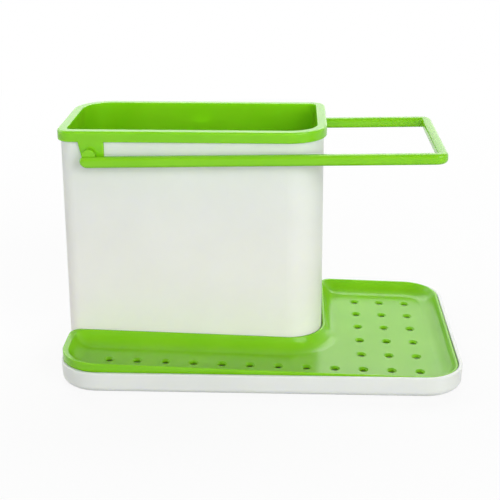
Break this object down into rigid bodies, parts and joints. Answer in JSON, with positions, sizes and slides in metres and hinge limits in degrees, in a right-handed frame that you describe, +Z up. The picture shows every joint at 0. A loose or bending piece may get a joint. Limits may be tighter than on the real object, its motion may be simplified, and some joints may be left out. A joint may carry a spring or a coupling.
{
  "type": "kitchen sink caddy",
  "caption": "Sink caddy: a tall bin with a lift-out liner and a swinging towel rail stands in a shallow base beside a sloping perforated drain tray.",
  "frame": {"origin": "on the worktop, in the middle of the base's footprint", "axes": "+X to the right, from the bin towards the dish and the rail's free end; +Y to the back; +Z up"},
  "size_m": [0.2032, 0.1252, 0.122],
  "materials": {
    "white_plastic": "satin moulded white",
    "lime_plastic": "satin moulded lime green",
    "pad_rubber": "soft matt grey"
  },
  "bodies": {
    "base": {"base_tray": "white_plastic", "foot_pad_front_left": "pad_rubber", "foot_pad_front_right": "pad_rubber", "foot_pad_back_left": "pad_rubber", "foot_pad_back_right": "pad_rubber"},
    "tray": {"drain_tray": "lime_plastic"},
    "bin": {"outer_bin": "white_plastic"},
    "liner": {"liner": "lime_plastic"},
    "rail": {"towel_rail": "lime_plastic"}
  },
  "joints": [
    {"name": "tray_lift", "type": "slide", "parent": "base", "child": "tray", "axis": [0, 0, 1], "range_m": [0, 0.04]},
    {"name": "bin_lift", "type": "slide", "parent": "base", "child": "bin", "axis": [0, 0, 1], "range_m": [0, 0.05]},
    {"name": "liner_lift", "type": "slide", "parent": "bin", "child": "liner", "axis": [0, 0, 1], "range_m": [0, 0.11]},
    {"name": "rail_swing", "type": "hinge", "parent": "liner", "child": "rail", "pos_m": [-0.08485, 0, 0.1103], "axis": [0, -1, 0], "range_deg": [0, 100]}
  ]
}
